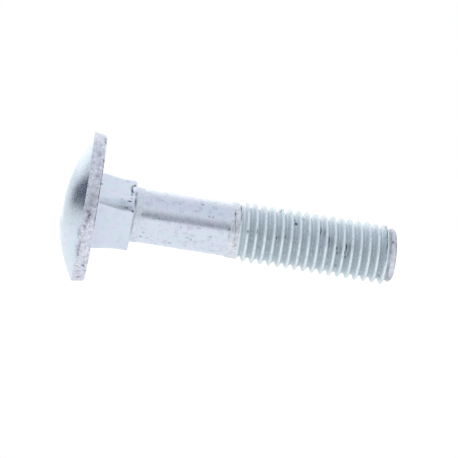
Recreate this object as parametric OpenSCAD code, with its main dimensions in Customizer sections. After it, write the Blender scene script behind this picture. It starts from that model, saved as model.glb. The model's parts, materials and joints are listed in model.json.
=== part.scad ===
// Carriage bolt M12 x 60: mushroom head, square neck, plain shank and a rolled
// metric thread, forged in one piece and zinc plated.
// The bolt is drawn along +Z with its bearing face at z = 0, and is then laid
// down as it comes to rest, on the edge of its head and its last full crest.

/* [Head] */
// Diameter of the head at the edge of its dome
head_d = 29.8; // [22:0.1:36]
// Height of the dome above its edge
dome_h = 4.3; // [2:0.1:7]
// Thickness of the rim, from the dome's edge to the bearing face
rim_t = 2.5; // [1.5:0.1:5]
// Draft of the rim, which narrows towards the bearing face, in degrees
rim_draft = 8; // [0:0.5:15]
// Rounding of the rim where it meets the bearing face
rim_round = 0.5; // [0.2:0.1:1]

/* [Square neck] */
// Width across the flats at the head
neck_w = 11.65; // [11:0.05:12.7]
// Width across the flats at the end of the neck
neck_end_w = 11.25; // [11:0.05:12.7]
// Length of the square neck
neck_l = 7.4; // [5:0.1:12]
// Width across the corners at the head
corner_d = 15.6; // [14:0.1:17]
// Width across the corners along the end of the neck
corner_end_d = 14.1; // [13.2:0.1:15.5]
// Length of the taper of the corners
corner_taper_l = 4.6; // [1:0.1:4.9]
// Chamfer of the corners at the end of the neck
corner_chamfer = 0.3; // [0.1:0.05:0.4]
// Turn of the square about the bolt, in degrees
neck_turn = 77.5; // [0:0.5:90]
// Offset of the square from the bolt's axis, as forged
neck_offset = 0.35; // [0:0.05:0.4]

/* [Shank] */
// Diameter of the plain shank
shank_d = 10.75; // [10:0.05:10.8]
// Step from a centred square's flats down to the cone
cone_step = 0.1; // [0.05:0.01:0.2]
// Length of the cone between the neck and the shank
cone_l = 1.5; // [0.5:0.1:3]
// Diameter of the collar that the rolling pushes up before the thread
collar_d = 11.1; // [10.9:0.05:11.3]
// Length of the collar
collar_l = 0.8; // [0.6:0.1:4]
// Length of the collar's rise from the shank
collar_rise_l = 0.3; // [0.1:0.05:0.4]

/* [Thread] */
// Length of the bolt from its bearing face to its tip
bolt_l = 60; // [45:1:90]
// Length of the thread from the tip to the collar
thread_l = 32.6; // [15:0.2:36]
// Outer diameter of the thread
thread_d = 11.8; // [11.6:0.02:12]
// Diameter at the root of the thread
root_d = 9.85; // [9.6:0.05:10.2]
// Distance from one crest to the next
pitch = 1.75; // [1.5:0.05:2]
// Angle of each flank to a plane across the bolt, in degrees
flank_angle = 30; // [27:0.5:32]
// Width of the rounded crest
crest_w = 0.26; // [0.15:0.01:0.35]
// Rise of the crest's rounding
crest_round = 0.04; // [0.01:0.01:0.08]
// Depth of the root's rounding
root_round = 0.08; // [0.02:0.01:0.12]
// Length over which the grooves sink into the collar, and then the crests grow
run_out_l = 1; // [0.6:0.1:3]
// Diameter of the flat end of the tip
tip_d = 9.8; // [8.5:0.05:10.2]
// Angle of the tip's chamfer to the axis, in degrees
tip_angle = 45; // [35:1:55]
// Turn of the thread about the bolt, in degrees
thread_turn = 350; // [0:1:359]

/* [Hidden] */
zinc = "#cdd7e2";
$fn = 96;

// The dome is part of a sphere through its edge and its apex
head_h = rim_t + dome_h;
dome_r = (pow(head_d / 2, 2) + pow(dome_h, 2)) / (2 * dome_h);

// How far the rim's slanted side reaches out at a height z, with z below 0
function rim_r(z) = head_d / 2 - (z + rim_t) * tan(rim_draft);
// Middle of the rounding, which touches the side and the bearing face
round_x = rim_r(-rim_round) - rim_round / cos(rim_draft);

cone_d = neck_end_w - 2 * cone_step;
cone_slope = (cone_d - shank_d) / 2 / cone_l;
// The cone goes on into the neck for a short way. It comes out through the
// flats that the offset brings close to the axis.
root_l = 0.9;
root_step = root_l * cone_slope;
thread_z = bolt_l - thread_l;

// The thread's faces start this far inside the collar, below its surface
overlap_l = 0.2;
overlap_step = 0.05;
start_z = thread_z - overlap_l;
start_r = collar_d / 2 - overlap_step;

// The thread's profile over one pitch, from the middle of a crest, as
// fractions of the pitch and radii: crest, root and crest again
crest_r = thread_d / 2;
root_r = root_d / 2;
flank_l = (crest_r - crest_round - root_r - root_round) * tan(flank_angle);
crest_f = crest_w / 2 / pitch;
root_f = crest_f + flank_l / pitch;
profile = [
    [0, crest_r],
    [crest_f, crest_r - crest_round],
    [root_f, root_r + root_round],
    [0.5, root_r],
    [1 - root_f, root_r + root_round],
    [1 - crest_f, crest_r - crest_round]
];
steps = len(profile);
// Columns of points round the thread, a multiple of four
columns = 36;

// A crest passes the top of the bolt at this height, and at every pitch from it
crest_z = thread_z - pitch * thread_turn / 360;
// First row of points: a whole turn of it lies before the thread's start
row_z = crest_z + pitch * floor((start_z - pitch - crest_z) / pitch);
rows = steps * ceil((bolt_l - row_z) / pitch) + 1;

// Height of the point in row m and column i: rows climb one pitch a turn
function point_z(m, i) =
    row_z + pitch * (floor(m / steps) + profile[m % steps][0] + i / columns);

// Share of the full thread at a height: a smooth rise over the run-out
function grown(z) =
    let (s = min(max((z - thread_z) / run_out_l, 0), 1)) s * s * (3 - 2 * s);

// Radius of row m at a height, grown out of the collar and cut by the tip. The
// crests grow one run-out later than the grooves.
function point_r(m, z) =
    let (r = profile[m % steps][1], late = r > start_r ? run_out_l : 0)
    min(
        start_r + grown(z - late) * (r - start_r),
        tip_d / 2 + (bolt_l - z) * tan(tip_angle)
    );

function ring_point(r, i, z) =
    [r * cos(360 * i / columns), r * sin(360 * i / columns), z];

// Points closer than this to either end become part of that end's ring
snap = pitch / 20;
grid = rows * columns;
// Where the point of row m and column i stands in the list of points. The
// last column is the first one, a pitch further on.
function index(m, i) =
    let (z = point_z(m, i), column = i % columns)
    z <= start_z + snap ? grid + column
    : z >= bolt_l - snap ? grid + columns + column
    : (m + (i < columns ? 0 : steps)) * columns + column;

thread_points = concat(
    [for (m = [0:rows - 1], i = [0:columns - 1])
        let (z = point_z(m, i)) ring_point(point_r(m, z), i, z)],
    [for (i = [0:columns - 1]) ring_point(start_r, i, start_z)],
    [for (i = [0:columns - 1]) ring_point(tip_d / 2, i, bolt_l)]
);

function is_face(f) = f[0] != f[1] && f[1] != f[2] && f[2] != f[0];

// Two triangles between each four neighbours, and a flat face at each end
thread_faces = concat(
    [for (m = [0:rows - 2], i = [0:columns - 1])
        let (a = index(m, i), b = index(m + 1, i))
        let (c = index(m + 1, i + 1), d = index(m, i + 1))
        each [for (f = [[a, b, c], [a, c, d]]) if (is_face(f)) f]],
    [[for (i = [0:columns - 1]) grid + i]],
    [[for (i = [columns - 1:-1:0]) grid + columns + i]]
);

// The lowest crest is the last one at the bottom that the tip leaves whole
chamfer_z = bolt_l - (crest_r - tip_d / 2) / tan(tip_angle);
bottom_z = crest_z + pitch / 2;
rest_z = bottom_z + pitch * floor((chamfer_z - bottom_z) / pitch);
// Slope at which the dome's edge and that crest touch one plane
rest_tilt = atan((head_d / 2 - crest_r) / (rest_z + rim_t));
rest_h = head_d / 2 * cos(rest_tilt) - rim_t * sin(rest_tilt);
// The dome's sphere and the top of the tip's end are furthest out
left_x = (dome_r - head_h) * cos(rest_tilt) - dome_r;
right_x = bolt_l * cos(rest_tilt) + tip_d / 2 * sin(rest_tilt);

// Mushroom head: a flat dome over a drafted rim with a rounded lower edge
module head() {
    intersection() {
        translate([0, 0, dome_r - head_h])
            sphere(dome_r);
        rotate_extrude() {
            polygon([
                [0, -head_h],
                [rim_r(-head_h), -head_h],
                [round_x + rim_round * cos(rim_draft),
                    rim_round * (sin(rim_draft) - 1)],
                [round_x, -rim_round],
                [round_x, 0],
                [0, 0]
            ]);
            intersection() {
                translate([round_x, -rim_round])
                    circle(rim_round);
                translate([round_x, -2 * rim_round])
                    square(2 * rim_round);
            }
        }
    }
}

// Square neck: four drafted flats inside a cone that cuts the corners
module neck() {
    translate([-neck_offset, 0, 0])
        intersection() {
            rotate([0, 0, neck_turn + 45])
                linear_extrude(height = neck_l, scale = neck_end_w / neck_w)
                    square(neck_w, center = true);
            rotate_extrude()
                polygon([
                    [0, 0],
                    [corner_d / 2, 0],
                    [corner_end_d / 2, corner_taper_l],
                    [corner_end_d / 2, neck_l - corner_chamfer],
                    [corner_end_d / 2 - corner_chamfer, neck_l],
                    [0, neck_l]
                ]);
        }
}

// Cone, plain shank and the collar where the thread runs out
module shank() {
    rotate_extrude()
        polygon([
            [0, neck_l - root_l],
            [cone_d / 2 + root_step, neck_l - root_l],
            [shank_d / 2, neck_l + cone_l],
            [shank_d / 2, thread_z - collar_l],
            [collar_d / 2, thread_z - collar_l + collar_rise_l],
            [collar_d / 2, thread_z],
            [0, thread_z]
        ]);
}

// Rolled right-hand thread and its chamfered tip
module thread() {
    polyhedron(points = thread_points, faces = thread_faces, convexity = 10);
}

module carriage_bolt() {
    color(zinc)
        translate([-(left_x + right_x) / 2, 0, rest_h])
            rotate([0, 90 + rest_tilt, 0])
                rotate([0, 0, 180]) {
                    head();
                    neck();
                    shank();
                    thread();
                }
}

carriage_bolt();
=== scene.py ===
import json

import bpy
import numpy as np
from math import atan, pi, radians, tan
from mathutils import Matrix


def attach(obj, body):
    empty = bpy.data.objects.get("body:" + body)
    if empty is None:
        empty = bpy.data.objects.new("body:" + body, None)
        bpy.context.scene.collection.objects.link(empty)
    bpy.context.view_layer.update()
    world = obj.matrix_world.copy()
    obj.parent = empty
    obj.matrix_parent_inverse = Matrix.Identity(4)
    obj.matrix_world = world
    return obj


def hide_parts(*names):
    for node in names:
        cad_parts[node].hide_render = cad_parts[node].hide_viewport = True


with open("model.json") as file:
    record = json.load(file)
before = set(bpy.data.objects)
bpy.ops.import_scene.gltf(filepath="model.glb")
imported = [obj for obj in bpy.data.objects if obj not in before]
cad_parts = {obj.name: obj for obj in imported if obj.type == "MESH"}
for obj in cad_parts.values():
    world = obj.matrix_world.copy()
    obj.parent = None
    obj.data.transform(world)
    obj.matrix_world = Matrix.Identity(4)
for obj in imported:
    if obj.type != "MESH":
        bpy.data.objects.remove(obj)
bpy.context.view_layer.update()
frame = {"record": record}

# Camera
# A long lens looks level across the bolt from 0.4 m away, turned a little
# towards the head and rolled by less than a degree.
CAMERA_AZIMUTH = -5.4
CAMERA_ELEVATION = 0.1
CAMERA_ROLL = 0.713
CAMERA_DISTANCE = 0.3974
CAMERA_HEIGHT = 0.01057
LENS_MM = 157.2

camera_data = bpy.data.cameras.new("camera")
camera_data.lens = LENS_MM
camera = bpy.data.objects.new("camera", camera_data)
bpy.context.scene.collection.objects.link(camera)
camera.matrix_world = (
    Matrix.Translation((0, 0, CAMERA_HEIGHT))
    @ Matrix.Rotation(radians(CAMERA_AZIMUTH), 4, "Z")
    @ Matrix.Rotation(radians(90 - CAMERA_ELEVATION), 4, "X")
    @ Matrix.Translation((0, 0, CAMERA_DISTANCE))
    @ Matrix.Rotation(radians(CAMERA_ROLL), 4, "Z")
)
bpy.context.scene.camera = camera
bpy.context.scene.view_settings.view_transform = "Standard"


# Floor
# A white table under the bolt that runs out to the white of the room. Part of
# its light is its own, so that it stays white and keeps a faint shadow.
FLOOR_SIZE = 8.0
FLOOR_SHADE = "#616161"
FLOOR_GLOW = 1.0


def colour(hex_code):
    """Linear colour from an sRGB hex code: dark shades over 12.92, all others by
    a power of 2.4."""
    srgb = np.array([int(hex_code[i:i + 2], 16) for i in (1, 3, 5)]) / 255
    linear = np.where(srgb <= 0.04045, srgb / 12.92, ((srgb + 0.055) / 1.055) ** 2.4)
    return (*linear, 1.0)


def mesh_object(name, points, faces):
    """Makes an object of a list of points in metres and a list of faces, each
    a row of point numbers that runs anticlockwise as seen from outside."""
    mesh = bpy.data.meshes.new(name)
    mesh.from_pydata(np.asarray(points).tolist(), [], np.asarray(faces).tolist())
    mesh.update()
    made = bpy.data.objects.new(name, mesh)
    bpy.context.scene.collection.objects.link(made)
    return made


def node(tree, kind, inputs=None, **settings):
    """Adds a shader node, makes its settings and fills its sockets, each with
    a value or with a link from another node's output."""
    made = tree.nodes.new(kind)
    for name, value in settings.items():
        setattr(made, name, value)
    for name, value in (inputs or {}).items():
        if isinstance(value, bpy.types.NodeSocket):
            tree.links.new(value, made.inputs[name])
        else:
            made.inputs[name].default_value = value
    return made


def new_material(name):
    """An empty node material, its node tree and its output node."""
    made = bpy.data.materials.new(name)
    made.use_nodes = True
    made.node_tree.nodes.clear()
    return made, made.node_tree, made.node_tree.nodes.new("ShaderNodeOutputMaterial")


half = FLOOR_SIZE / 2
floor = mesh_object(
    "floor", [(-half, -half, 0), (half, -half, 0), (half, half, 0), (-half, half, 0)],
    [(0, 1, 2, 3)],
)
# Matt paper, which shows no grain at this distance
material, tree, output = new_material("white_table_paper")
paper = node(tree, "ShaderNodeBsdfDiffuse", {"Color": colour(FLOOR_SHADE)})
glow = node(tree, "ShaderNodeEmission", {"Strength": FLOOR_GLOW})
both = node(tree, "ShaderNodeAddShader", {0: paper.outputs[0], 1: glow.outputs[0]})
tree.links.new(both.outputs[0], output.inputs["Surface"])
floor.data.materials.append(material)


# Room light
# A white tent, lit to just white and a little bluer overhead. Two grey cards
# stand in front and at the left and give the metal its dark lines, and two
# bright panels stand behind it. The camera sees none of these four.
TENT_TOP = "#f1f4fb"
# The tent's tone changes between these heights, as sines of the elevation
TENT_RISE = (0.25, 0.85)
WHITE = "#ffffff"
BOLT_HEIGHT = 0.01
CARD_COLUMNS = 48
CARD_CLEARANCE = 0.001


def card(name, radius, azimuths, low, high, tones, glows, fade):
    """A card bent round the bolt, part of an upright cylinder with a radius in
    metres. azimuths are the ends of its arc, counted from behind the bolt round
    past the head; low and high are the elevations of its edges at those ends,
    all in degrees. An edge stands the radius times the tangent of its elevation
    above the bolt's middle, and never below the floor. Tone and glow go from
    the first of tones and glows to the second between the two shares of the
    card's height in fade."""
    columns = CARD_COLUMNS
    sweep = np.radians(np.linspace(*azimuths, columns))
    rows = []
    for ends in (low, high):
        level = BOLT_HEIGHT + radius * np.tan(np.radians(np.linspace(*ends, columns)))
        level = np.maximum(level, CARD_CLEARANCE)
        rows.append(np.stack([-radius * np.sin(sweep), radius * np.cos(sweep), level], 1))
    step = np.arange(columns - 1)
    made = mesh_object(
        name, np.concatenate(rows),
        np.stack([step, step + columns, step + columns + 1, step + 1], axis=1),
    )
    share = made.data.attributes.new("share", "FLOAT", "POINT")
    share.data.foreach_set("value", np.repeat([0.0, 1.0], columns))
    material, tree, output = new_material(name)
    height = node(tree, "ShaderNodeAttribute", attribute_name="share")
    rise = node(
        tree, "ShaderNodeMapRange",
        {"Value": height.outputs["Fac"], "From Min": fade[0], "From Max": fade[1]},
    )
    tone = node(
        tree, "ShaderNodeMix",
        {0: rise.outputs["Result"], 6: colour(tones[0]), 7: colour(tones[1])},
        data_type="RGBA",
    )
    strength = node(
        tree, "ShaderNodeMapRange",
        {"Value": rise.outputs["Result"], "To Min": glows[0], "To Max": glows[1]},
    )
    glow = node(
        tree, "ShaderNodeEmission",
        {"Color": tone.outputs[2], "Strength": strength.outputs["Result"]},
    )
    tree.links.new(glow.outputs[0], output.inputs["Surface"])
    made.data.materials.append(material)
    made.visible_camera = False


# In front of the bolt: the grey of its near side
card(
    "front_card", 0.12, (140, 222), (-6, -6), (38, 38), ("#9aa0aa", WHITE), (1, 1), (0.1, 0.88)
)
# Past the head: the dark patch on the dome
card(
    "side_card", 0.5, (44, 105), (6.5, 6.5), (13, 45), ("#444a60", "#444a60"), (1, 1), (0, 1)
)
# High behind the bolt: the bright upper sides
card(
    "back_panel", 0.7, (45, -60), (15, 15), (75, 75), (WHITE, WHITE), (1.4, 1.0), (0.05, 0.55)
)
# Low behind the head: the upper outline of the dome, which melts into the room
card("low_panel", 0.66, (24, 6), (1, 1), (16, 16), (WHITE, WHITE), (1.7, 1.7), (0, 1))

world = bpy.data.worlds.new("white_tent")
bpy.context.scene.world = world
world.use_nodes = True
tree = world.node_tree
tree.nodes.clear()
rays = node(tree, "ShaderNodeLightPath")
direction = node(tree, "ShaderNodeTexCoord")
parts = node(tree, "ShaderNodeSeparateXYZ", {"Vector": direction.outputs["Generated"]})
overhead = node(
    tree, "ShaderNodeMapRange",
    {"Value": parts.outputs["Z"], "From Min": TENT_RISE[0], "From Max": TENT_RISE[1]},
    interpolation_type="SMOOTHSTEP",
)
walls = node(
    tree, "ShaderNodeMix",
    {0: overhead.outputs["Result"], 6: colour(WHITE), 7: colour(TENT_TOP)},
    data_type="RGBA",
)
shown = node(
    tree, "ShaderNodeMix",
    {0: rays.outputs["Is Camera Ray"], 6: walls.outputs[2], 7: colour(WHITE)},
    data_type="RGBA",
)
light = node(tree, "ShaderNodeBackground", {"Color": shown.outputs[2], "Strength": 1.0})
node(tree, "ShaderNodeOutputWorld", {"Surface": light.outputs[0]})


# Bolt's centre line
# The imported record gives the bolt's axis and a point on the near side of its
# bearing face, level with its middle. The bolt lies down, so its axis slopes a
# little towards the tip.
mounts = {mount["name"]: mount for mount in frame["record"]["mounts"]}
seat = mounts["bearing_face"]
AXIS = np.array(seat["axis"])
CENTRE = np.array([seat["pos_m"][0], 0, seat["pos_m"][2]])
NEAR_SIDE = np.array([0, -1, 0])
TOP_SIDE = np.cross(NEAR_SIDE, AXIS)
SLOPE = atan(-AXIS[2] / AXIS[0])
MM = 0.001

# The surface is a grid: columns stand round the bolt, rows follow each other
# from the dome's apex to the tip. The first column stands at a neck corner.
COLUMNS = 192
CORNER_TURN = radians(77.5)
around = CORNER_TURN + 2 * pi * np.arange(COLUMNS) / COLUMNS


def on_bolt(along, turn, out):
    """Points in metres, at along mm from the bearing face towards the tip, out
    mm from the axis, and turned from the top towards the near side: the middle
    of the bearing face, plus along times the axis, plus out times the mix of
    both sides by cosine and sine of the turn."""
    along, turn, out = np.broadcast_arrays(along, turn, out)
    sideways = np.cos(turn)[..., None] * TOP_SIDE + np.sin(turn)[..., None] * NEAR_SIDE
    return CENTRE + MM * (along[..., None] * AXIS + out[..., None] * sideways)


def softer_min(a, b, width):
    """The smaller of a and b, with the crease rounded off: where they differ by
    less than width, a parabola in their difference takes over."""
    near = np.maximum(width - np.abs(a - b), 0) / width
    return np.minimum(a, b) - width * near**2 / 4


def bend(before, corner, after, length, count):
    """count points of a parabola that rounds a corner of a profile. It touches
    both sides at length from the corner."""
    before, corner, after = map(np.array, (before, corner, after))
    start = corner + length * (before - corner) / np.linalg.norm(before - corner)
    end = corner + length * (after - corner) / np.linalg.norm(after - corner)
    s = np.linspace(0, 1, count)[:, None]
    return (1 - s) ** 2 * start + 2 * s * (1 - s) * corner + s**2 * end


def between(start, end, count):
    """count points on the straight line from start to end, without its ends."""
    s = np.linspace(0, 1, count + 2)[1:-1, None]
    return (1 - s) * np.array(start) + s * np.array(end)


def knocks(along, turn, out, marks):
    """How deep each point lies in a knock, in mm, and how dark it is painted: by dirt,
    and in some marks by painted shade and painted dark reflections. marks are rows
    of: along in mm, turn in degrees, half length, half width and depth in mm, and
    darkness, from 0 to 1 for a frayed mark and above 1 for a solid spot. Each is a
    smooth bell: depth or darkness times exp(-distance squared)."""
    along, turn, out = np.broadcast_arrays(along, turn, out)
    deep, darkness = np.zeros(along.shape), np.zeros(along.shape)
    for middle, angle, length, width, depth, dirt_and_shade in marks:
        aside = ((turn - radians(angle) + pi) % (2 * pi) - pi) * out
        bell = np.exp(-((along - middle) / length) ** 2 - (aside / width) ** 2)
        deep = deep + depth * bell
        darkness = np.maximum(darkness, dirt_and_shade * bell)
    return deep, darkness


# Head
# A mushroom head, forged on the end of the rod: a flat dome above a rim that
# keeps the rough skin of the forging, with a rounded edge on the bearing side.
HEAD_D = 29.8
DOME_H = 4.3
RIM_T = 2.5
RIM_DRAFT = 8.0
EDGE_ROUND = 0.3
RIM_ROUND = 0.55
DOME_ROWS = 34
RIM_ROWS = 6
FORGE_WAVE = 0.05
# Waves in the forged skin: how many go round the head, how far each turns over
# a mm along it, and where it starts, both in radians
FORGE_WAVES = [(3, 0, 0.4), (7, 1.3, 0), (13, -1.9, 2.0)]

head_h = DOME_H + RIM_T
dome_r = ((HEAD_D / 2) ** 2 + DOME_H**2) / (2 * DOME_H)
bearing_r = HEAD_D / 2 - RIM_T * tan(radians(RIM_DRAFT))

# Rings on the dome, spaced evenly along its arc, up to its rounded edge
edge_angle = np.arcsin(HEAD_D / 2 / dome_r)
dome_angle = edge_angle * np.arange(1, DOME_ROWS + 1) / (DOME_ROWS + 1)
dome_line = np.stack(
    [dome_r * (1 - np.cos(dome_angle)) - head_h, dome_r * np.sin(dome_angle)], axis=1
)
edge, foot = (-RIM_T, HEAD_D / 2), (0, bearing_r)
dome_edge = bend(dome_line[-1], edge, foot, EDGE_ROUND, 5)
rim_foot = bend(edge, foot, (0, 0), RIM_ROUND, 7)
rim_line = np.concatenate([dome_edge, between(dome_edge[-1], rim_foot[0], RIM_ROWS), rim_foot])


def forged(along, turn, out):
    """The radius of the head's skin, pressed in by up to FORGE_WAVE: by the mean
    of the cosine waves, each raised to lie between 0 and 1, times the sixth
    power of the share of the way out to the rim."""
    waves = sum(np.cos(count * turn + tilt * along + start) for count, tilt, start in FORGE_WAVES)
    mean = (1 + waves / len(FORGE_WAVES)) / 2
    return out - FORGE_WAVE * mean * (out / (HEAD_D / 2)) ** 6


# A nick in the rim's edge, pits and stains in its skin, and painted shade along its foot
HEAD_KNOCKS = [
    (-0.3, 20, 0.4, 0.9, 0.25, 0.5), (-0.2, 27, 0.3, 0.7, 0.15, 0.9),
    # Painted shade: a dark line along the rim's foot, in this row and the next
    (-0.1, 51, 0.2, 0.6, 0.0, 1.0), (-0.05, 61, 0.14, 2.5, 0.0, 0.9),
    (-0.05, 78, 0.14, 4.0, 0.0, 1.2), (-0.05, 96, 0.14, 2.5, 0.0, 0.8),
    (-1.3, 86, 0.7, 1.6, 0.03, 0.3), (-1.5, 96, 0.6, 1.3, 0.05, 0.65),
    (-1.6, 101, 0.3, 0.9, 0.05, 0.6), (-1.8, 105, 0.2, 0.25, 0.06, 1.6),
    (-0.85, 141.5, 0.2, 0.25, 0.06, 1.6), (-1.35, 160.5, 0.3, 0.3, 0.04, 1.2),
    (-1.0, 45, 0.6, 0.8, 0.03, 0.4), (-2.2, 122, 0.2, 1.2, 0.02, 0.6),
    (-0.9, 66, 0.5, 0.7, 0.03, 0.35), (-2.3, 128, 0.15, 0.8, 0.0, 0.7),
    (-2.7, 111, 0.35, 1.2, 0.0, 0.4), (-2.7, 125, 0.3, 1.2, 0.0, 0.35),
]

head_line = np.concatenate([dome_line, rim_line])
head_along, head_out = head_line[:, :1], head_line[:, 1:]
head_out = forged(head_along, around, head_out)
deep, head_dirt_and_shade = knocks(head_along, around, head_out, HEAD_KNOCKS)
head_points = on_bolt(head_along, around, head_out - deep)


# Shank
# The drawn rod below the neck: a short cone down to it, the plain rod, and a
# low collar where rolling the thread has pushed the metal up.
NECK_L = 7.4
CONE_D = 11.05
CONE_L = 1.5
SHANK_D = 10.75
COLLAR_D = 11.1
COLLAR_L = 0.8
COLLAR_RISE_L = 0.3
THREAD_START = 27.4
# The cone's first ring stands this far from the neck's end
NECK_GAP = 0.02
CONE_BEND_L = 0.4
FOOT_BEND_L = 0.1
TOP_BEND_L = 0.12
SHANK_ROWS = 76
# Pits and specks in the rod, a painted dark reflection along its near side,
# painted shade in the corner at the neck, and dark spots at the collar
SHANK_KNOCKS = [
    (9.1, 88, 0.2, 0.2, 0.02, 0.9), (26.35, 89, 0.3, 0.35, 0.03, 1.0),
    (26.45, 104, 0.12, 0.7, 0.0, 0.5), (22.1, 69.5, 0.2, 0.14, 0.02, 1.0),
    (22.9, 70, 0.15, 0.15, 0.02, 1.0), (20.55, 42, 0.3, 0.2, 0.02, 0.8),
    (19.3, 62.5, 0.4, 0.2, 0.02, 0.5), (16.05, 50.5, 0.3, 0.25, 0.0, 0.4),
    (12.5, 49.5, 0.3, 0.25, 0.0, 0.3), (9.55, 63.5, 0.3, 0.3, 0.0, 0.3),
    (9.5, 140, 0.35, 0.15, 0.02, 0.7), (10.75, 141.5, 0.4, 0.15, 0.02, 0.6),
    (11.85, 147.5, 0.4, 0.12, 0.0, 0.5), (15.35, 146.5, 0.22, 0.2, 0.03, 0.8),
    (18.5, 123, 0.3, 0.18, 0.02, 0.7), (19.3, 126.5, 0.2, 0.25, 0.02, 0.7),
    (18.55, 133, 0.25, 0.15, 0.0, 0.5), (17.75, 115, 0.18, 0.15, 0.02, 0.6),
    (16.85, 102.5, 0.12, 0.3, 0.0, 0.5), (10.05, 107, 0.2, 0.2, 0.0, 0.4),
    (9.85, 127, 0.2, 0.3, 0.0, 0.4), (22.85, 112, 0.4, 0.2, 0.0, 0.4),
    (20.45, 97.5, 0.4, 0.15, 0.0, 0.4), (27.2, 55, 0.12, 0.6, 0.02, 1.2),
    (27.35, 72, 0.12, 0.8, 0.02, 1.0), (7.45, 45, 0.15, 1.0, 0.0, 0.6),
    # Painted shade in the corner at the neck: these two marks and the last of the row above
    (7.45, 66, 0.15, 1.3, 0.0, 0.8), (7.45, 108, 0.15, 3.0, 0.0, 0.5),
    # Painted dark reflection: two long streaks along the near side, which faces the lens
    (13.0, 91, 4.0, 0.2, 0.0, 0.6), (21.0, 91, 4.0, 0.16, 0.0, 0.35),
]

cone_start = (NECK_L + NECK_GAP, CONE_D / 2)
cone_end = (NECK_L + CONE_L, SHANK_D / 2)
collar_foot = (THREAD_START - COLLAR_L, SHANK_D / 2)
collar_top = (THREAD_START - COLLAR_L + COLLAR_RISE_L, COLLAR_D / 2)
collar_end = (THREAD_START, COLLAR_D / 2)
cone_bend = bend(cone_start, cone_end, collar_foot, CONE_BEND_L, 5)
foot_bend = bend(cone_end, collar_foot, collar_top, FOOT_BEND_L, 3)
top_bend = bend(collar_foot, collar_top, collar_end, TOP_BEND_L, 3)
# The cone's finish goes on to just past the middle of its bend
cone_line = np.concatenate([[cone_start], between(cone_start, cone_bend[0], 5), cone_bend[:3]])
rod_line = np.concatenate([cone_bend[3:], between(cone_bend[-1], foot_bend[0], SHANK_ROWS)])
collar_line = np.concatenate(
    [foot_bend, top_bend, between(top_bend[-1], collar_end, 3), [collar_end]]
)
shank_line = np.concatenate([cone_line, rod_line, collar_line])
shank_along, shank_out = shank_line[:, :1], shank_line[:, 1:]
deep, shank_dirt_and_shade = knocks(shank_along, around, shank_out, SHANK_KNOCKS)
shank_points = on_bolt(shank_along, around, shank_out - deep)


# Square neck
# Four drafted flats, pressed with the head a little off the bolt's axis. Its
# corners are cut by a cone, so each flat meets the next in a narrow rounded
# land. The shank's cone comes out through the ends of the nearest flats.
NECK_W = 11.65
NECK_END_W = 11.25
NECK_OFFSET = 0.35
CONE_ROOT_L = 0.9
CORNER_D = 15.6
CORNER_END_D = 14.1
CORNER_TAPER_L = 4.6
CORNER_CHAMFER = 0.3
NECK_FILLET = 0.25
# How far the two radii differ where the rounding of a land's edge begins
NECK_EDGE = 0.45
NECK_ROWS = 26
FACE_ROWS = 14
# Below 1, the rows of the bearing face lie closer together at the neck
FACE_SPREAD = 0.8
# Share of each quarter's columns that stand on the half land beside its corner
LAND_SHARE = 5 / 48

quarter = (around - CORNER_TURN) / (pi / 2)
from_corner = quarter - np.round(quarter)


def flat_distance(along):
    """Distance of the flats from the axis: a straight draft along the neck."""
    return np.interp(along, [0, NECK_L], [NECK_W / 2, NECK_END_W / 2])


def corner_taper(along):
    """Radius of the cone that cuts the corners: straight from the head down to
    the end of its taper, and level from there."""
    return np.interp(along, [0, CORNER_TAPER_L], [CORNER_D / 2, CORNER_END_D / 2])


def corner_radius(along):
    """Radius of the corners: their taper, or the chamfer at the neck's end where
    that is smaller, which falls a mm for each mm along."""
    return np.minimum(corner_taper(along), CORNER_END_D / 2 + NECK_L - CORNER_CHAMFER - along)


def neck_turns(along):
    """Turns of the columns at each height of the neck. Near a corner they are
    spread evenly over the land, and the others evenly over the flats. A land
    ends where the flat's plane meets the corner's circle: its half angle is 45
    degrees less the arc cosine of the flat's distance over the radius."""
    land = pi / 4 - np.arccos(flat_distance(along) / corner_taper(along))
    away = np.abs(from_corner)
    on_land = away / LAND_SHARE * land
    on_flat = land + (away - LAND_SHARE) / (0.5 - LAND_SHARE) * (pi / 4 - land)
    spread = np.where(away < LAND_SHARE, on_land, on_flat)
    return around + np.sign(from_corner) * (spread - away * pi / 2)


def neck_radius(along, turn):
    """Radius of the neck: the nearer of the flat's plane, its distance over the
    cosine of the turn off its middle, and the corner cone, with a narrow
    rounding where the two meet."""
    off = (turn - CORNER_TURN) % (pi / 2) - pi / 4
    return softer_min(flat_distance(along) / np.cos(off), corner_radius(along), NECK_EDGE)


def cone_radius(along, turn):
    """Radius of the shank's cone inside the neck, about the neck's own centre.
    The cone's circle has its centre NECK_OFFSET above that one: the offset's
    share along the turn, plus the root of the cone's radius squared less the
    offset's share across it squared. Before the cone's root it is 0."""
    slope = (CONE_D - SHANK_D) / 2 / CONE_L
    out = CONE_D / 2 + slope * (NECK_L - along)
    up, aside = NECK_OFFSET * np.cos(turn), NECK_OFFSET * np.sin(turn)
    return np.where(along > NECK_L - CONE_ROOT_L, up + np.sqrt(out**2 - aside**2), 0)
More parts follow.
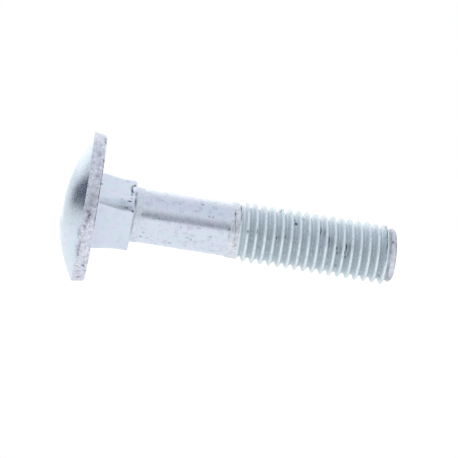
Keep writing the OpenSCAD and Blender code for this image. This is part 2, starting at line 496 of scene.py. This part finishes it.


# A hooked scar and specks at the end of the upper flat, a painted dark reflection on
# the near land, painted shade in the corner at the cone, and a nick beside the head
NECK_KNOCKS = [
    (6.9, 11, 0.18, 0.3, 0.03, 1.5), (6.6, 16, 0.2, 0.25, 0.03, 1.5),
    (6.4, 22, 0.14, 0.4, 0.04, 1.5), (6.4, 28, 0.13, 0.4, 0.04, 1.5),
    (6.5, 34, 0.14, 0.4, 0.04, 1.3), (6.65, 39, 0.22, 0.2, 0.03, 1.4),
    (6.5, 46.5, 0.16, 0.3, 0.02, 1.1), (6.55, 59, 0.22, 0.18, 0.02, 0.8),
    (6.2, 67, 0.45, 0.16, 0.02, 1.1), (4.7, 65, 0.3, 0.2, 0.0, 0.4),
    (4.5, -16, 0.2, 0.3, 0.0, 0.5), (5.5, 2, 0.3, 0.3, 0.0, 0.4),
    (7.05, 83, 0.3, 0.25, 0.03, 1.0), (5.7, 79.5, 1.6, 0.42, 0.0, 0.6),
    # Painted dark reflection on the near land: these two marks and the last of the row above
    (5.2, 72, 1.2, 0.5, 0.0, 0.25), (1.6, 73, 0.6, 0.55, 0.0, 0.15),
    # Painted shade in the corner at the cone: these two marks and the first of the row below
    (7.3, 45, 0.16, 1.0, 0.0, 0.5), (7.3, 66, 0.16, 1.5, 0.0, 0.8),
    (7.35, 105, 0.12, 2.5, 0.0, 0.4), (7.2, 166, 0.3, 0.4, 0.02, 0.6),
    (0.25, 27, 0.25, 0.25, 0.02, 1.4),
]

# Rows are even up to the cone's root and then close up towards the neck's end
cone_root = NECK_L - CONE_ROOT_L
neck_end = NECK_L - np.array([0.86, 0.7, 0.5, 0.35, 0.25, 0.15, 0.07, 0.02, 0])
neck_along = np.concatenate([np.linspace(0, cone_root, NECK_ROWS), neck_end])[:, None]
neck_turn = neck_turns(neck_along)
neck_out = neck_radius(neck_along, neck_turn)
neck_out = np.maximum(neck_out, cone_radius(neck_along, neck_turn))
# Fillet under the head: a quarter round that widens the neck's first rows
sink = np.maximum(NECK_FILLET - neck_along, 0)
neck_out += NECK_FILLET - np.sqrt(NECK_FILLET**2 - sink**2)

deep, neck_dirt_and_shade = knocks(neck_along, neck_turn, neck_out, NECK_KNOCKS)
neck_points = on_bolt(neck_along, neck_turn, neck_out - deep) - MM * NECK_OFFSET * TOP_SIDE

# The bearing face runs in straight from the rim's circle to the neck's outline
inward = np.linspace(0, 1, FACE_ROWS + 1)[1:-1, None, None] ** FACE_SPREAD
face_points = head_points[-1] + inward * (neck_points[0] - head_points[-1])


# Rolled thread
# A right-hand metric thread rolled into the rod. Its grid follows the helix:
# a row climbs one pitch a turn, so crests and roots stay sharp lines.
THREAD_D = 11.8
ROOT_D = 9.85
PITCH = 1.75
FLANK_ANGLE = 30.0
CREST_W = 0.26
CREST_ROUND = 0.04
ROOT_ROUND = 0.08
ROOT_W = 0.1
# The flanks stand this much further from the middle of the crest than sharp ones
FLANK_OUT = 0.03
# A crest passes the top of the bolt here, and at every pitch from here
FIRST_CREST = 26.04
GROOVE_START = 27.75
GROOVE_RUN_OUT_L = 1.9
CREST_START = 28.75
CREST_RUN_OUT_L = 1.0
BOLT_L = 60.0
TIP_D = 9.8
TIP_ROUND = 0.15
TIP_EDGE = 0.1
# The rod keeps its own diameter at the tip, where the dies didn't press
UNROLLED_D = 10.8
UNROLLED_L = 1.05
UNROLLED_FADE_L = 0.5
# How much further the last groove goes at the bottom
LAST_GROOVE_L = 0.75
END_FORWARD = 0.1
END_LEAN = 0.27
LEAN_L = 1.0


def smooth_step(share):
    """Rises smoothly from 0 to 1 with share: 3 share squared - 2 share cubed."""
    share = np.clip(share, 0, 1)
    return share**2 * (3 - 2 * share)


crest_r = THREAD_D / 2
root_r = ROOT_D / 2
flank_h = crest_r - CREST_ROUND - root_r - ROOT_ROUND
flank_l = flank_h * tan(radians(FLANK_ANGLE))
flank_start = np.array([CREST_W / 2, crest_r - CREST_ROUND])
flank_run = np.array([flank_l, -flank_h])
# Half of the profile, from the middle of a crest to the middle of a root, as
# (distance along the bolt, radius): rounded crest, flank and rounded root
half_profile = np.array(
    [
        (0, crest_r),
        (0.35 * CREST_W, crest_r - 0.25 * CREST_ROUND),
        (0.7 * CREST_W, crest_r - 1.1 * CREST_ROUND),
        (CREST_W, crest_r - 3.4 * CREST_ROUND),
        flank_start + 0.5 * flank_run + (FLANK_OUT, 0),
        flank_start + flank_run + (FLANK_OUT, 0),
        (PITCH / 2 - ROOT_W / 2, root_r + 0.2 * ROOT_ROUND),
        (PITCH / 2, root_r),
    ]
)
profile = np.concatenate([half_profile, half_profile[-2:0:-1] * (-1, 1) + (PITCH, 0)])
steps = len(profile)

# Turns of the helix, with enough before and after it to reach both its ends
thread_end = BOLT_L - TIP_EDGE
first = int(np.floor((THREAD_START - FIRST_CREST) / PITCH)) - 2
turns = int(np.ceil((thread_end - FIRST_CREST) / PITCH)) - first + 1
climb = np.tile(profile[:, 0], turns) + PITCH * (first + np.repeat(np.arange(turns), steps))
thread_along = FIRST_CREST + climb[:, None] + PITCH * around / (2 * pi)
thread_out = np.tile(profile[:, 1], turns)[:, None]

# The grooves sink in over their run-out, and the crests start to grow later
grown = np.where(
    thread_out > COLLAR_D / 2,
    smooth_step((thread_along - CREST_START) / CREST_RUN_OUT_L),
    smooth_step((thread_along - GROOVE_START) / GROOVE_RUN_OUT_L),
)
thread_out = COLLAR_D / 2 + grown * (thread_out - COLLAR_D / 2)
# Near the tip the dies press less, and the rod keeps its own diameter. The last
# groove goes on further at the bottom, as the square of the cosine.
unrolled = BOLT_L - UNROLLED_L + LAST_GROOVE_L * np.clip(-np.cos(around), 0, 1) ** 2
pressed = smooth_step((unrolled - thread_along) / UNROLLED_FADE_L)
thread_out = UNROLLED_D / 2 + pressed * (thread_out - UNROLLED_D / 2)
chamfer = TIP_D / 2 + BOLT_L - thread_along
thread_out = softer_min(thread_out, chamfer, TIP_ROUND)


def leaning(along, out):
    """Where a point of the tip lies along the bolt. The rod was sheared a little
    out of square: its end stands forward by END_FORWARD, and by END_LEAN more at
    the bottom and less at the top. Both grow evenly over the last LEAN_L."""
    share = np.clip(along - (BOLT_L - LEAN_L), 0, LEAN_L) / LEAN_L
    return along + share * (END_FORWARD - END_LEAN * np.cos(around) * out / (TIP_D / 2))


# Painted shade in the grooves, which also keeps each crest's highlight narrow: deepest
# in the roots, thin from a set height above them, and thinner still between two set
# depths below a crest's top.
CREST_SHADE = 0.05
FLANK_SHADE = 0.112
ROOT_SHADE = 0.3
ROOT_SHADE_H = 0.25
CREST_CLEAR = (0.08, 0.02)
# The painted shade is stronger at the turn below and opposite it, by this share
SHADE_SWELL = 0.45
SHADE_TURN = radians(115)
THREAD_KNOCKS = [
    # At the collar, where the first groove begins
    (27.6, 88, 0.1, 0.7, 0.02, 1.0), (27.75, 107.5, 0.12, 0.6, 0.02, 0.8),
    (28.05, 120, 0.12, 0.6, 0.02, 0.8), (28.25, 36, 0.1, 1.0, 0.0, 1.3),
    (28.4, 60, 0.1, 1.2, 0.0, 1.1),
    # Dashes and specks of grime in the grooves of the near side
    (30.0, 89, 0.16, 0.35, 0.0, 1.0), (31.8, 85.5, 0.14, 0.6, 0.0, 0.8),
    (35.9, 92, 0.14, 0.35, 0.0, 1.2), (36.3, 20, 0.14, 0.4, 0.0, 0.9),
    (37.5, 86.5, 0.16, 0.3, 0.03, 1.3), (39.1, 40, 0.18, 0.25, 0.05, 1.3),
    (39.4, 50, 0.2, 0.3, 0.08, 1.8), (41.0, 30, 0.14, 0.4, 0.0, 0.9),
    (41.3, 85, 0.2, 0.35, 0.0, 0.45), (44.3, 66, 0.12, 0.5, 0.0, 1.2),
    (44.4, 57.5, 0.15, 0.8, 0.0, 1.4), (45.1, 64.5, 0.12, 0.6, 0.0, 0.5),
    (46.25, 79.5, 0.15, 0.9, 0.0, 1.4), (46.45, 92, 0.14, 0.5, 0.0, 0.9),
    (47.9, 93, 0.16, 0.35, 0.03, 1.5), (48.2, 104, 0.16, 0.3, 0.03, 1.5),
    (48.55, 139, 0.22, 0.35, 0.03, 0.9), (49.3, 107, 0.12, 0.3, 0.0, 0.5),
    (49.6, 99, 0.14, 0.3, 0.0, 1.2), (49.85, 88, 0.12, 0.8, 0.05, 1.8),
    (50.05, 110, 0.12, 0.5, 0.05, 1.5), (50.4, 101, 0.1, 0.4, 0.0, 0.8),
    (52.2, 128, 0.14, 0.4, 0.0, 0.5), (57.55, 151, 0.25, 0.3, 0.08, 1.0),
    # Chips in the crests
    (31.6, 80, 0.25, 0.3, 0.08, 0.0), (33.2, 35, 0.25, 0.4, 0.1, 0.0),
    (33.35, 62, 0.3, 0.3, 0.1, 0.0), (33.5, 101, 0.3, 0.4, 0.12, 0.0),
    (35.2, 75, 0.25, 0.25, 0.07, 0.0), (38.55, 52, 0.25, 0.25, 0.08, 0.3),
    (40.3, 48, 0.25, 0.3, 0.08, 0.0), (45.7, 118, 0.25, 0.3, 0.07, 0.0),
    (52.6, 70, 0.25, 0.25, 0.08, 0.0), (54.5, 24, 0.3, 0.3, 0.12, 0.9),
    # Painted shade: a dark line along the last crest, and more in the groove behind it
    (57.5, 25, 0.1, 1.0, 0.0, 0.6), (57.66, 46, 0.12, 1.8, 0.0, 0.9),
    (57.78, 72, 0.12, 1.8, 0.0, 1.0), (57.92, 98, 0.1, 1.8, 0.0, 0.7),
    (58.6, 115, 0.08, 2.0, 0.0, 0.5),
    # Stains on the edge of the end
    (59.0, 60, 0.2, 0.3, 0.0, 0.8), (59.5, 150, 0.2, 1.0, 0.0, 0.5),
    (59.65, 45, 0.14, 0.9, 0.0, 1.0), (59.8, 70, 0.13, 1.4, 0.0, 1.0),
    (59.85, 98, 0.13, 1.5, 0.0, 0.8),
]
deep, thread_dirt_and_shade = knocks(thread_along, around, thread_out, THREAD_KNOCKS)
# Painted shade from the root up to the crest, swelled by the cosine of twice the turn
groove_shade = np.interp(
    thread_out, [root_r, root_r + ROOT_SHADE_H, crest_r - CREST_CLEAR[0], crest_r - CREST_CLEAR[1]],
    [ROOT_SHADE, FLANK_SHADE, FLANK_SHADE, CREST_SHADE],
)
groove_shade = groove_shade * (1 + SHADE_SWELL * np.cos(2 * (around - SHADE_TURN)))
thread_dirt_and_shade = np.maximum(thread_dirt_and_shade, groove_shade * grown * pressed)
thread_points = on_bolt(leaning(thread_along, thread_out), around, thread_out - deep)


# Tip
# The rod's cut end. A chamfer narrows it, the thread runs out on that, and
# the rolling leaves its middle a little dished.
DISH = 0.15

tip_r = TIP_D / 2
# As (distance along the bolt, radius): rounded edge, flat ring and dished middle
tip_line = np.array(
    [
        (thread_end, tip_r + TIP_EDGE), (BOLT_L - 0.03, tip_r + 0.02),
        (BOLT_L, tip_r - 0.08), (BOLT_L, tip_r - 0.5), (BOLT_L - 0.3 * DISH, tip_r - 1.2),
        (BOLT_L - 0.8 * DISH, 0.45 * tip_r), (BOLT_L - DISH, 0.2 * tip_r),
    ]
)
tip_out = tip_line[:, 1:]
tip_points = on_bolt(leaning(tip_line[:, :1], tip_out), around, tip_out)


# Zinc plating
# Bright zinc with a blue-white passivation, over steel that was pressed,
# forged, drawn or rolled. The layer is the same, but the steel below shows
# through it as grain, pits and drawing lines.
# Size of the noise that frays the dirt and the painted shade
FRAY_MM = 0.5
# At their full level, dirt and painted shade make the zinc rougher by this much
DIRT_AND_SHADE_ROUGH = 0.5
# Grain makes it smoother and rougher by as much as this
GRAIN_ROUGH = (-0.05, 0.07)


def zinc(
    name, tints, drift_mm, rough, grain, dark="#6d7083", drawn=1, ragged=(0.4, 1.5),
    specks=(1, 0.5, 0.8, 0.2),
):
    """A zinc-plated surface. It drifts between two tints over drift_mm. grain
    is (size, depth) in mm of the noise that lifts it and varies its roughness,
    and drawn is how many times as long the grain is along the bolt. The real
    grain is a few hundredths of a mm, too fine to show, so it is drawn coarser.
    Where the point attribute for dirt and painted shade is high the zinc takes the
    dark tint and is rougher; noise between the two levels of ragged frays that
    darkening. specks are darker too: (size in mm, low and high noise level between
    which a speck sets in, how dark)."""
    material, tree, output = new_material(name)
    place = node(tree, "ShaderNodeTexCoord")
    # Turned so that x runs along the bolt
    straight = node(
        tree, "ShaderNodeMapping", {"Vector": place.outputs["Object"], "Rotation": (0, -SLOPE, 0)}
    )
    lines = node(
        tree, "ShaderNodeMapping", {"Vector": straight.outputs[0], "Scale": (1 / drawn, 1, 1)}
    )

    def noise(vector, size_mm, detail, low=0.0, high=1.0, bottom=0.0, top=1.0):
        """Noise of a size in mm, with the levels low to high spread to bottom
        to top."""
        cloud = node(
            tree, "ShaderNodeTexNoise",
            {"Vector": vector.outputs[0], "Scale": 1 / (size_mm * MM), "Detail": detail},
        )
        return node(
            tree, "ShaderNodeMapRange",
            {
                "Value": cloud.outputs["Fac"], "From Min": low, "From Max": high,
                "To Min": bottom, "To Max": top,
            },
        ).outputs["Result"]

    tone = node(
        tree, "ShaderNodeMix",
        {
            0: noise(straight, drift_mm, 3.0, 0.35, 0.65),
            6: colour(tints[0]), 7: colour(tints[1]),
        },
        data_type="RGBA",
    )
    # Dirt, painted shade and painted dark reflections, one level for each point
    dirt_and_shade = node(tree, "ShaderNodeAttribute", attribute_name="dirt_and_shade")
    frayed = node(
        tree, "ShaderNodeMath",
        {0: dirt_and_shade.outputs["Fac"], 1: noise(straight, FRAY_MM, 2.0, 0.3, 0.7, *ragged)},
        operation="MULTIPLY",
    )
    spots = noise(straight, specks[0], 4.0, specks[1], specks[2], 0.0, specks[3])
    dull = node(tree, "ShaderNodeMath", {0: frayed.outputs[0], 1: spots}, operation="MAXIMUM")
    tone = node(
        tree, "ShaderNodeMix",
        {0: dull.outputs[0], 6: tone.outputs[2], 7: colour(dark)},
        data_type="RGBA",
    )
    lift = noise(lines, grain[0], 1.0)
    bump = node(
        tree, "ShaderNodeBump", {"Height": lift, "Distance": grain[1] * MM, "Strength": 1.0}
    )
    gloss = noise(
        lines, grain[0], 3.0, 0.3, 0.7, rough + GRAIN_ROUGH[0], rough + GRAIN_ROUGH[1]
    )
    matt = node(
        tree, "ShaderNodeMath", {0: frayed.outputs[0], 1: DIRT_AND_SHADE_ROUGH, 2: gloss},
        operation="MULTIPLY_ADD",
    )
    plating = node(
        tree, "ShaderNodeBsdfPrincipled",
        {
            "Base Color": tone.outputs[2], "Metallic": 1.0, "Roughness": matt.outputs[0],
            "Normal": bump.outputs[0],
        },
    )
    tree.links.new(plating.outputs[0], output.inputs["Surface"])
    return material


finishes = {
    # Pressed between smooth dies: a cool, soft mirror with hardly any grain
    "dome": zinc("zinc_on_pressed_dome", ("#c9d9e3", "#cfd8e6"), 3, 0.25, (0.45, 0.006)),
    # The forging's own skin: dull lilac grey, rough, with dark pits all over
    "rim": zinc(
        "zinc_on_forged_rim", ("#dfe3ec", "#c3c7d5"), 0.8, 0.45, (0.4, 0.05),
        dark="#706b7b", specks=(0.3, 0.5, 0.75, 0.62),
    ),
    # Pressed flat in the die: satin, with broad faint clouds
    "neck": zinc(
        "zinc_on_pressed_neck", ("#ccdae3", "#d2d6e6"), 1.6, 0.34, (0.9, 0.006),
        specks=(1.3, 0.5, 0.8, 0.15),
    ),
    # Squeezed in below the neck: paler and duller than the rod, lightly speckled
    "cone": zinc(
        "zinc_on_pressed_cone", ("#d6e0e8", "#d8dae6"), 1.6, 0.55, (0.5, 0.01),
        specks=(0.8, 0.5, 0.8, 0.3),
    ),
    # Drawn through a die: a soft mirror with grain drawn out along the rod
    "shank": zinc(
        "zinc_on_drawn_shank", ("#cdd9e3", "#d2d5e4"), 2.0, 0.25, (0.45, 0.006), drawn=2,
        specks=(1.1, 0.5, 0.8, 0.35),
    ),
    # Pushed up by the rolling: wrinkled across the rod, pale and speckled
    "collar": zinc(
        "zinc_on_upset_collar", ("#dee3e8", "#cdd1dc"), 0.9, 0.4, (0.5, 0.03), drawn=0.4,
        specks=(0.5, 0.5, 0.8, 0.6),
    ),
    # Rolled by ribbed dies: greenish satin, greyed in the grooves by painted shade and by grime
    "thread": zinc(
        "zinc_on_rolled_thread", ("#e0ebef", "#e0e8ef"), 3, 0.45, (0.5, 0.012),
        dark="#6c7986", ragged=(0.7, 1.25), specks=(0.6, 0.5, 0.75, 0.4),
    ),
    # Sheared off: grey and rough, with small lilac stains
    "cut": zinc(
        "zinc_on_cut_tip", ("#d6dbe2", "#c0c5d0"), 0.9, 0.5, (0.4, 0.03), dark="#6f6873",
        specks=(0.4, 0.55, 0.85, 0.45),
    ),
}


# The bolt in one piece
# Head, neck, shank, thread and tip are one forging, so their rows are joined
# into one closed skin, and each part of the skin gets its own finish.

# Thread points this near to either end of the thread join that end's ring
SNAP = 0.08
# The collar's finish goes on this far past the first crest after the collar
COLLAR_FINISH_L = 0.15
# The cut tip's finish starts this many pitches after FIRST_CREST, half way down
# the flank behind the last full crest
CUT_START = 18.25


def grid_faces(index):
    """Two triangles in each cell of a grid of point numbers. Cells that shrink
    to a line or a point drop out."""
    a, b = index[:-1, :-1], index[:-1, 1:]
    c, d = index[1:, 1:], index[1:, :-1]
    faces = np.concatenate([np.stack([a, b, c], -1), np.stack([a, c, d], -1)]).reshape(-1, 3)
    same = (faces == np.roll(faces, 1, axis=1)).any(axis=1)
    return faces[~same]


def closed(index):
    """A grid of point numbers with its first column again at the end."""
    return np.concatenate([index, index[:, :1]], axis=1)


dome = slice(0, DOME_ROWS + 1)
rim = slice(DOME_ROWS + 1, None)
cone = slice(0, len(cone_line))
rod = slice(len(cone_line), -len(collar_line))
collar = slice(-len(collar_line), None)
grids = {
    "dome": (head_points[dome], head_dirt_and_shade[dome]),
    "rim": (head_points[rim], head_dirt_and_shade[rim]),
    "face": (face_points, np.zeros(face_points.shape[:2])),
    "neck": (neck_points, neck_dirt_and_shade),
    "cone": (shank_points[cone], shank_dirt_and_shade[cone]),
    "shank": (shank_points[rod], shank_dirt_and_shade[rod]),
    "collar": (shank_points[collar], shank_dirt_and_shade[collar]),
    "thread": (thread_points, thread_dirt_and_shade),
    "tip": (tip_points, np.zeros(tip_points.shape[:2])),
}
index, count = {}, 0
for name, (grid, _) in grids.items():
    index[name] = count + np.arange(len(grid) * COLUMNS).reshape(-1, COLUMNS)
    count += len(grid) * COLUMNS
apex, end = count, count + 1

body = [name for name in grids if name not in ("thread", "tip")]
faces, zones = [], []
for name, after in zip(body, body[1:] + [None]):
    rows = [index[name]] + ([index[after][:1]] if after else [])
    faces.append(grid_faces(closed(np.concatenate(rows))))
    zones.append(name)
# Thread points before the thread's start or past its end become the end rings
start_ring, end_ring = index["collar"][-1], index["tip"][0]
strip = np.where(thread_along < THREAD_START + SNAP, start_ring, index["thread"])
strip = np.where(thread_along > thread_end - SNAP, end_ring, strip)
# The last column meets the first one a turn further on
next_turn = np.concatenate([strip[steps:, :1], np.full((steps, 1), end_ring[0])])
faces.append(grid_faces(np.concatenate([strip, next_turn], axis=1)))
faces.append(grid_faces(closed(index["tip"])))
first_ring, last_ring = closed(index["dome"])[0], closed(index["tip"])[-1]
faces.append(np.stack([first_ring[1:], first_ring[:-1], np.full(COLUMNS, apex)], axis=1))
faces.append(np.stack([last_ring[:-1], last_ring[1:], np.full(COLUMNS, end)], axis=1))
zones += ["thread", "tip", "dome", "tip"]

poles = CENTRE + MM * np.array([-head_h, BOLT_L + END_FORWARD - DISH])[:, None] * AXIS
points = np.concatenate([grid.reshape(-1, 3) for grid, _ in grids.values()] + [poles])
dirt_and_shade = np.concatenate([level.ravel() for _, level in grids.values()] + [[0, 0]])

# Each face's finish, by its number among the materials. The bearing face has
# the neck's, and the tip the cut one.
number = {name: place for place, name in enumerate(finishes)}
number.update({"face": number["neck"], "tip": number["cut"]})
finish_of_face = np.repeat([number[zone] for zone in zones], [len(part) for part in faces])
faces = np.concatenate(faces)
# On the thread the finish changes along the helix, so each face's middle is
# measured along it: its distance along the bolt less a pitch a turn
middle = (points[faces].mean(axis=1) - CENTRE) / MM
face_turn = np.arctan2(middle @ NEAR_SIDE, middle @ TOP_SIDE)
helix = middle @ AXIS - PITCH * ((face_turn + pi / 2) % (2 * pi) - pi / 2) / (2 * pi)
rolled = finish_of_face == number["thread"]
collar_limit = FIRST_CREST + PITCH + COLLAR_FINISH_L
finish_of_face[rolled & (helix < collar_limit)] = number["collar"]
finish_of_face[rolled & (helix > FIRST_CREST + CUT_START * PITCH)] = number["cut"]

# Points that no face uses, beyond both ends of the helix, are left out
used, faces = np.unique(faces, return_inverse=True)
bolt = mesh_object("carriage_bolt_finish", points[used], faces.reshape(-1, 3))
# Each point's level of dirt, painted shade and painted dark reflections
bolt.data.attributes.new("dirt_and_shade", "FLOAT", "POINT").data.foreach_set("value", dirt_and_shade[used])
for finish in finishes.values():
    bolt.data.materials.append(finish)
bolt.data.polygons.foreach_set("material_index", finish_of_face.astype(np.int32))
bolt.data.shade_smooth()

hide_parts("carriage_bolt")
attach(bolt, "root")
